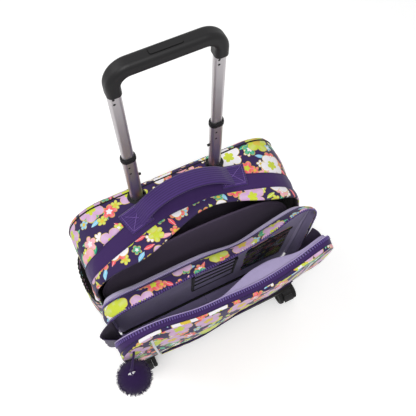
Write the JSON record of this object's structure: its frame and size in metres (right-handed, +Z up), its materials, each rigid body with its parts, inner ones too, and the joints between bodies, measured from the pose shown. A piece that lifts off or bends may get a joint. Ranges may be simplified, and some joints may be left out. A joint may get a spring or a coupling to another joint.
{
  "type": "rolling soft bag",
  "caption": "Soft-sided rolling bag with a telescopic trolley handle, leaning organiser section and front pocket, side bottle pockets, top grab handle and swivelling twin-wheel casters.",
  "frame": {"origin": "Middle of the whole object's footprint at the floor that the wheels stand on.", "axes": "+Z up, -Y the front of the bag, +X to the right as seen from the front."},
  "size_m": [0.444, 0.298, 0.7276],
  "materials": {
    "print_cloth": "woven polyester with a printed floral, matt",
    "plain_cloth": "plain woven polyester, matt",
    "lining": "brushed padded lining, matt",
    "webbing": "ribbed webbing, matt",
    "elastic": "gathered black cloth and elastic",
    "mesh": "black open mesh",
    "zip_tape": "woven zip tape with coil teeth",
    "reflective_tape": "smooth silver-grey tape",
    "plush": "long soft pile",
    "board": "stiff lining board",
    "black_plastic": "moulded, fine texture",
    "grip_plastic": "moulded, satin",
    "wheel_tread": "moulded hard rubber",
    "tube_metal": "satin anodised",
    "bright_metal": "plated, polished",
    "steel": "zinc plated"
  },
  "bodies": {
    "bag": {"base_tray": "black_plastic", "base_screws": "steel", "bottom_panel": "plain_cloth", "back_panel": "print_cloth", "frame_sheet": "board", "gusset_rear": "print_cloth", "gusset_band": "plain_cloth", "gusset_front": "print_cloth", "grab_handle": "webbing", "handle_anchors": "webbing", "laptop_divider": "lining", "bottle_pocket_left": "print_cloth", "bottle_pocket_right": "print_cloth", "bottle_elastic_left": "elastic", "bottle_elastic_right": "elastic", "outer_tube_left": "tube_metal", "outer_tube_right": "tube_metal", "tube_foot": "black_plastic", "top_bezel": "black_plastic", "tube_rim_left": "black_plastic", "tube_rim_right": "black_plastic"},
    "middle_stage": {"middle_tube_left": "tube_metal", "middle_tube_right": "tube_metal", "collar_left": "black_plastic", "collar_right": "black_plastic", "guide_pins": "black_plastic"},
    "upper_stage": {"upper_tube_left": "tube_metal", "upper_tube_right": "tube_metal", "grip_body": "grip_plastic", "grip_cover": "grip_plastic"},
    "button": {"grip_button": "grip_plastic"},
    "front_section": {"wall_panel": "lining", "wall_gusset": "print_cloth", "main_zip": "zip_tape", "organiser_zip": "zip_tape", "card_panel": "lining", "mesh_pocket": "mesh", "fan_gusset_left": "elastic", "fan_gusset_right": "elastic"},
    "front_pocket": {"pocket_panel": "print_cloth", "pocket_gusset": "print_cloth", "pocket_zip": "zip_tape", "lower_pocket": "print_cloth", "accent_strips": "reflective_tape", "eyelet": "bright_metal", "charm_loop": "webbing"},
    "charm": {"charm_clasp": "bright_metal", "charm_pompom": "plush"},
    "swivel_front_left": {"caster_fork_front_left": "black_plastic"},
    "wheels_front_left": {"caster_wheels_front_left": "wheel_tread"},
    "swivel_front_right": {"caster_fork_front_right": "black_plastic"},
    "wheels_front_right": {"caster_wheels_front_right": "wheel_tread"},
    "swivel_rear_left": {"caster_fork_rear_left": "black_plastic"},
    "wheels_rear_left": {"caster_wheels_rear_left": "wheel_tread"},
    "swivel_rear_right": {"caster_fork_rear_right": "black_plastic"},
    "wheels_rear_right": {"caster_wheels_rear_right": "wheel_tread"}
  },
  "joints": [
    {"name": "middle_slide", "type": "slide", "parent": "bag", "child": "middle_stage", "axis": [0, 0, 1], "range_m": [-0.118, 0]},
    {"name": "upper_slide", "type": "slide", "parent": "middle_stage", "child": "upper_stage", "axis": [0, 0, 1], "range_m": [-0.148, 0]},
    {"name": "button_push", "type": "slide", "parent": "upper_stage", "child": "button", "axis": [0, 0, -1], "range_m": [0, 0.003], "stiffness_N_per_m": 800},
    {"name": "main_lean", "type": "hinge", "parent": "bag", "child": "front_section", "pos_m": [0, -0.036, 0.06], "axis": [1, 0, 0], "range_deg": [-3.5, 12]},
    {"name": "pocket_lean", "type": "hinge", "parent": "front_section", "child": "front_pocket", "pos_m": [0, -0.036, 0.06], "axis": [1, 0, 0], "range_deg": [-6.5, 10], "deforming": ["fan_gusset_left", "fan_gusset_right"]},
    {"name": "charm_swing", "type": "hinge", "parent": "front_pocket", "child": "charm", "pos_m": [-0.196, -0.123, 0.346], "axis": [1, 0, 0], "range_deg": [-30, 0]},
    {"name": "front_left_swivel", "type": "hinge", "parent": "bag", "child": "swivel_front_left", "pos_m": [-0.172, -0.037, 0.044], "axis": [0, 0, 1], "continuous": true},
    {"name": "front_left_roll", "type": "hinge", "parent": "swivel_front_left", "child": "wheels_front_left", "pos_m": [-0.172, -0.052, 0.02], "axis": [1, 0, 0], "continuous": true},
    {"name": "front_right_swivel", "type": "hinge", "parent": "bag", "child": "swivel_front_right", "pos_m": [0.172, -0.037, 0.044], "axis": [0, 0, 1], "continuous": true},
    {"name": "front_right_roll", "type": "hinge", "parent": "swivel_front_right", "child": "wheels_front_right", "pos_m": [0.172, -0.052, 0.02], "axis": [1, 0, 0], "continuous": true},
    {"name": "rear_left_swivel", "type": "hinge", "parent": "bag", "child": "swivel_rear_left", "pos_m": [-0.172, 0.119, 0.044], "axis": [0, 0, 1], "continuous": true},
    {"name": "rear_left_roll", "type": "hinge", "parent": "swivel_rear_left", "child": "wheels_rear_left", "pos_m": [-0.172, 0.104, 0.02], "axis": [1, 0, 0], "continuous": true},
    {"name": "rear_right_swivel", "type": "hinge", "parent": "bag", "child": "swivel_rear_right", "pos_m": [0.172, 0.119, 0.044], "axis": [0, 0, 1], "continuous": true},
    {"name": "rear_right_roll", "type": "hinge", "parent": "swivel_rear_right", "child": "wheels_rear_right", "pos_m": [0.172, 0.104, 0.02], "axis": [1, 0, 0], "continuous": true}
  ]
}
